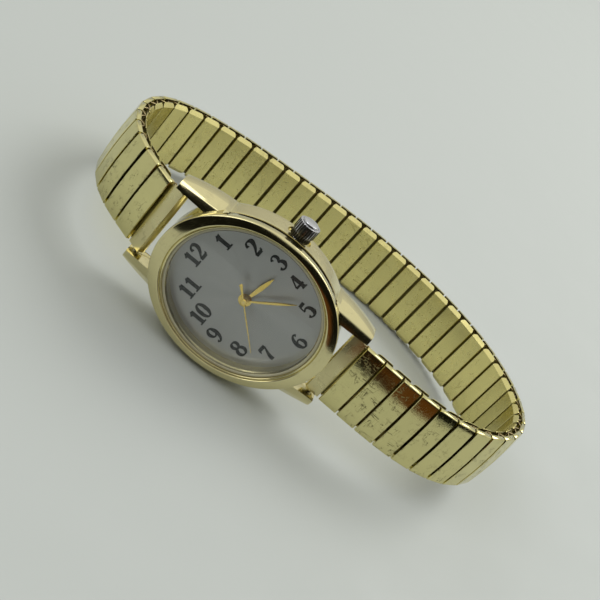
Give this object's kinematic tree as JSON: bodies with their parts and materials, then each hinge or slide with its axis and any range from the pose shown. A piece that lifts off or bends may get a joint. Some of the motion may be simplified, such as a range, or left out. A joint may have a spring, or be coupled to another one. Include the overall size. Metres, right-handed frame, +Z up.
{
  "type": "oval quartz wristwatch on expansion bracelet",
  "caption": "Small oval quartz watch on a closed stretch bracelet: thin gold-tone bezel, horn lugs, silver numeral dial, leaf hands, pull-out crown and link band.",
  "frame": {"origin": "centre of the bounding box's base, on the table the watch lies on", "axes": "+X from 12 to 6 o'clock along the row's longest side, +Y from the dial to the far run of the bracelet, +Z up, toward the crown; the watch lies on its 9 o'clock flank"},
  "size_m": [0.0768, 0.0462, 0.0261],
  "materials": {
    "gold_tone": "polished",
    "steel": "polished",
    "brushed_back": "brushed",
    "dial_silver": "satin",
    "mineral_glass": "clear",
    "rubber": "matt",
    "white_plastic": "matt",
    "brass_train": "fine",
    "copper_coil": "lacquered wire",
    "board_green": "matt",
    "magnet": "dark"
  },
  "bodies": {
    "case": {"case_middle": "gold_tone", "bezel": "gold_tone", "crystal": "mineral_glass", "crystal_gasket": "rubber", "dial": "dial_silver", "dial_ring": "steel", "case_back": "brushed_back", "case_back_gasket": "rubber", "movement_ring": "white_plastic", "main_plate": "brass_train", "train_bridge": "steel", "stator": "steel", "coil_core": "steel", "coil": "copper_coil", "circuit_board": "board_green", "quartz_can": "steel", "battery": "steel", "battery_clip": "steel", "crown_tube": "steel", "spring_bars": "steel", "end_piece_6": "gold_tone", "end_piece_12": "gold_tone"},
    "second_arbor": {"second_hand": "gold_tone", "second_wheel": "brass_train"},
    "centre_arbor": {"minute_hand": "gold_tone", "centre_wheel": "brass_train"},
    "hour_arbor": {"hour_hand": "gold_tone", "hour_wheel": "brass_train"},
    "minute_wheel": {"minute_wheel": "brass_train"},
    "third_wheel": {"third_wheel": "brass_train"},
    "intermediate_wheel": {"intermediate_wheel": "white_plastic"},
    "rotor": {"rotor": "magnet"},
    "clutch": {"clutch_wheel": "steel"},
    "stem": {"crown": "steel", "crown_gasket": "rubber", "winding_stem": "steel"},
    "setting_lever": {"setting_lever": "steel"},
    "segment_01": {"bracelet_01": "gold_tone"},
    "segment_02": {"bracelet_02": "gold_tone"},
    "segment_03": {"bracelet_03": "gold_tone"},
    "segment_04": {"bracelet_04": "gold_tone"},
    "segment_05": {"bracelet_05": "gold_tone"},
    "segment_06": {"bracelet_06": "gold_tone"},
    "segment_07": {"bracelet_07": "gold_tone"},
    "segment_08": {"bracelet_08": "gold_tone"},
    "segment_09": {"bracelet_09": "gold_tone"},
    "segment_10": {"bracelet_10": "gold_tone"},
    "segment_11": {"bracelet_11": "gold_tone"},
    "segment_12": {"bracelet_12": "gold_tone"},
    "segment_13": {"bracelet_13": "gold_tone"},
    "segment_14": {"bracelet_14": "gold_tone"},
    "segment_15": {"bracelet_15": "gold_tone"},
    "segment_16": {"bracelet_16": "gold_tone"},
    "segment_17": {"bracelet_17": "gold_tone"},
    "segment_18": {"bracelet_18": "gold_tone"},
    "segment_19": {"bracelet_19": "gold_tone"},
    "segment_20": {"bracelet_20": "gold_tone"},
    "segment_21": {"bracelet_21": "gold_tone"},
    "segment_22": {"bracelet_22": "gold_tone"},
    "segment_23": {"bracelet_23": "gold_tone"}
  },
  "joints": [
    {"name": "second_hand_turn", "type": "hinge", "parent": "case", "child": "second_arbor", "pos_m": [-0.009, -0.01977, 0.01217], "axis": [0, 0.9873, -0.1589], "continuous": true},
    {"name": "minute_hand_turn", "type": "hinge", "parent": "case", "child": "centre_arbor", "pos_m": [-0.009, -0.01939, 0.01211], "axis": [0, 0.9873, -0.1589], "continuous": true},
    {"name": "hour_hand_turn", "type": "hinge", "parent": "case", "child": "hour_arbor", "pos_m": [-0.009, -0.01898, 0.01204], "axis": [0, 0.9873, -0.1589], "continuous": true},
    {"name": "minute_wheel_turn", "type": "hinge", "parent": "case", "child": "minute_wheel", "pos_m": [-0.01026, -0.0179, 0.01059], "axis": [0, 0.9873, -0.1589], "continuous": true},
    {"name": "third_wheel_turn", "type": "hinge", "parent": "case", "child": "third_wheel", "pos_m": [-0.00758, -0.01687, 0.01041], "axis": [0, 0.9873, -0.1589], "continuous": true},
    {"name": "intermediate_wheel_turn", "type": "hinge", "parent": "case", "child": "intermediate_wheel", "pos_m": [-0.00786, -0.01605, 0.01272], "axis": [0, 0.9873, -0.1589], "continuous": true},
    {"name": "rotor_turn", "type": "hinge", "parent": "case", "child": "rotor", "pos_m": [-0.0069, -0.01647, 0.01376], "axis": [0, 0.9873, -0.1589], "continuous": true},
    {"name": "crown_turn", "type": "hinge", "parent": "case", "child": "clutch", "pos_m": [-0.009, -0.01675, 0.01583], "axis": [0, 0.1589, 0.9873], "continuous": true},
    {"name": "crown_pull", "type": "slide", "parent": "clutch", "child": "stem", "axis": [0, 0.1589, 0.9873], "range_m": [0, 0.0008]},
    {"name": "lever_turn", "type": "hinge", "parent": "case", "child": "setting_lever", "pos_m": [-0.0068, -0.01645, 0.01771], "axis": [0, 0.9873, -0.1589], "range_deg": [0, 22.92]},
    {"name": "stretch_01", "type": "slide", "parent": "case", "child": "segment_01", "axis": [1, 0, 0], "range_m": [0, 0.0009], "stiffness_N_per_m": 400},
    {"name": "stretch_02", "type": "slide", "parent": "segment_01", "child": "segment_02", "axis": [0.9992, -0.0389, 0.0063], "range_m": [0, 0.0009007]},
    {"name": "stretch_03", "type": "slide", "parent": "segment_02", "child": "segment_03", "axis": [0.9895, 0.143, -0.023], "range_m": [0, 0.000901]},
    {"name": "stretch_04", "type": "slide", "parent": "segment_03", "child": "segment_04", "axis": [0.8893, 0.4516, -0.0727], "range_m": [0, 0.000901]},
    {"name": "stretch_05", "type": "slide", "parent": "segment_04", "child": "segment_05", "axis": [0.6353, 0.7625, -0.1227], "range_m": [0, 0.000901]},
    {"name": "stretch_06", "type": "slide", "parent": "segment_05", "child": "segment_06", "axis": [0.3025, 0.941, -0.1515], "range_m": [0, 0.000901]},
    {"name": "stretch_07", "type": "slide", "parent": "segment_06", "child": "segment_07", "axis": [-0.1252, 0.9795, -0.1577], "range_m": [0, 0.0008521]},
    {"name": "stretch_08", "type": "slide", "parent": "segment_07", "child": "segment_08", "axis": [-0.4636, 0.8748, -0.1408], "range_m": [0, 0.0007198]},
    {"name": "stretch_09", "type": "slide", "parent": "segment_08", "child": "segment_09", "axis": [-0.6958, 0.7092, -0.1141], "range_m": [0, 0.000629]},
    {"name": "stretch_10", "type": "slide", "parent": "segment_09", "child": "segment_10", "axis": [-0.8615, 0.5012, -0.0807], "range_m": [0, 0.0005642]},
    {"name": "stretch_11", "type": "slide", "parent": "segment_10", "child": "segment_11", "axis": [-0.9522, 0.3016, -0.0486], "range_m": [0, 0.0005288]},
    {"name": "stretch_12", "type": "slide", "parent": "segment_11", "child": "segment_12", "axis": [-0.9907, 0.1343, -0.0216], "range_m": [0, 0.0005137]},
    {"name": "stretch_24", "type": "slide", "parent": "case", "child": "segment_23", "axis": [-0.848, 0.5232, -0.0842], "range_m": [0, 0.0008967]},
    {"name": "stretch_23", "type": "slide", "parent": "segment_23", "child": "segment_22", "axis": [-0.7435, 0.6603, -0.1063], "range_m": [0, 0.0008956]},
    {"name": "stretch_22", "type": "slide", "parent": "segment_22", "child": "segment_21", "axis": [-0.3829, 0.9121, -0.1468], "range_m": [0, 0.0008935]},
    {"name": "stretch_21", "type": "slide", "parent": "segment_21", "child": "segment_20", "axis": [-0.0395, 0.9865, -0.1588], "range_m": [0, 0.0008929]},
    {"name": "stretch_20", "type": "slide", "parent": "segment_20", "child": "segment_19", "axis": [0.3866, 0.9105, -0.1466], "range_m": [0, 0.0007424]},
    {"name": "stretch_19", "type": "slide", "parent": "segment_19", "child": "segment_18", "axis": [0.7752, 0.6237, -0.1004], "range_m": [0, 0.0005928]},
    {"name": "stretch_18", "type": "slide", "parent": "segment_18", "child": "segment_17", "axis": [0.9059, 0.418, -0.0673], "range_m": [0, 0.0005434]},
    {"name": "stretch_17", "type": "slide", "parent": "segment_17", "child": "segment_16", "axis": [0.9579, 0.2833, -0.0456], "range_m": [0, 0.0005242]},
    {"name": "stretch_16", "type": "slide", "parent": "segment_16", "child": "segment_15", "axis": [0.9745, 0.2214, -0.0356], "range_m": [0, 0.0005182]},
    {"name": "stretch_15", "type": "slide", "parent": "segment_15", "child": "segment_14", "axis": [0.9801, 0.1957, -0.0315], "range_m": [0, 0.0005162]},
    {"name": "stretch_14", "type": "slide", "parent": "segment_14", "child": "segment_13", "axis": [0.9925, 0.1209, -0.0195], "range_m": [0, 0.000512]}
  ],
  "couplings": [
    {"joint": "minute_hand_turn", "follows": "second_hand_turn", "ratio": 0.016667},
    {"joint": "hour_hand_turn", "follows": "second_hand_turn", "ratio": 0.0013889},
    {"joint": "minute_wheel_turn", "follows": "second_hand_turn", "ratio": -0.0055556},
    {"joint": "third_wheel_turn", "follows": "second_hand_turn", "ratio": -0.13333},
    {"joint": "intermediate_wheel_turn", "follows": "second_hand_turn", "ratio": -6},
    {"joint": "rotor_turn", "follows": "second_hand_turn", "ratio": 30},
    {"joint": "lever_turn", "follows": "crown_pull", "rad_per_m": 499.99},
    {"joint": "stretch_02", "follows": "stretch_01", "ratio": 0.99965},
    {"joint": "stretch_03", "follows": "stretch_01", "ratio": 1},
    {"joint": "stretch_04", "follows": "stretch_01", "ratio": 1},
    {"joint": "stretch_05", "follows": "stretch_01", "ratio": 1},
    {"joint": "stretch_06", "follows": "stretch_01", "ratio": 1},
    {"joint": "stretch_07", "follows": "stretch_01", "ratio": 0.94562},
    {"joint": "stretch_08", "follows": "stretch_01", "ratio": 0.79863},
    {"joint": "stretch_09", "follows": "stretch_01", "ratio": 0.69778},
    {"joint": "stretch_10", "follows": "stretch_01", "ratio": 0.62576},
    {"joint": "stretch_11", "follows": "stretch_01", "ratio": 0.58639},
    {"joint": "stretch_12", "follows": "stretch_01", "ratio": 0.56966},
    {"joint": "stretch_14", "follows": "stretch_01", "ratio": 0.56778},
    {"joint": "stretch_15", "follows": "stretch_01", "ratio": 0.57245},
    {"joint": "stretch_16", "follows": "stretch_01", "ratio": 0.57465},
    {"joint": "stretch_17", "follows": "stretch_01", "ratio": 0.5813},
    {"joint": "stretch_18", "follows": "stretch_01", "ratio": 0.60266},
    {"joint": "stretch_19", "follows": "stretch_01", "ratio": 0.65757},
    {"joint": "stretch_20", "follows": "stretch_01", "ratio": 0.82376},
    {"joint": "stretch_21", "follows": "stretch_01", "ratio": 0.99099},
    {"joint": "stretch_22", "follows": "stretch_01", "ratio": 0.99167},
    {"joint": "stretch_23", "follows": "stretch_01", "ratio": 0.99397},
    {"joint": "stretch_24", "follows": "stretch_01", "ratio": 0.99522}
  ]
}
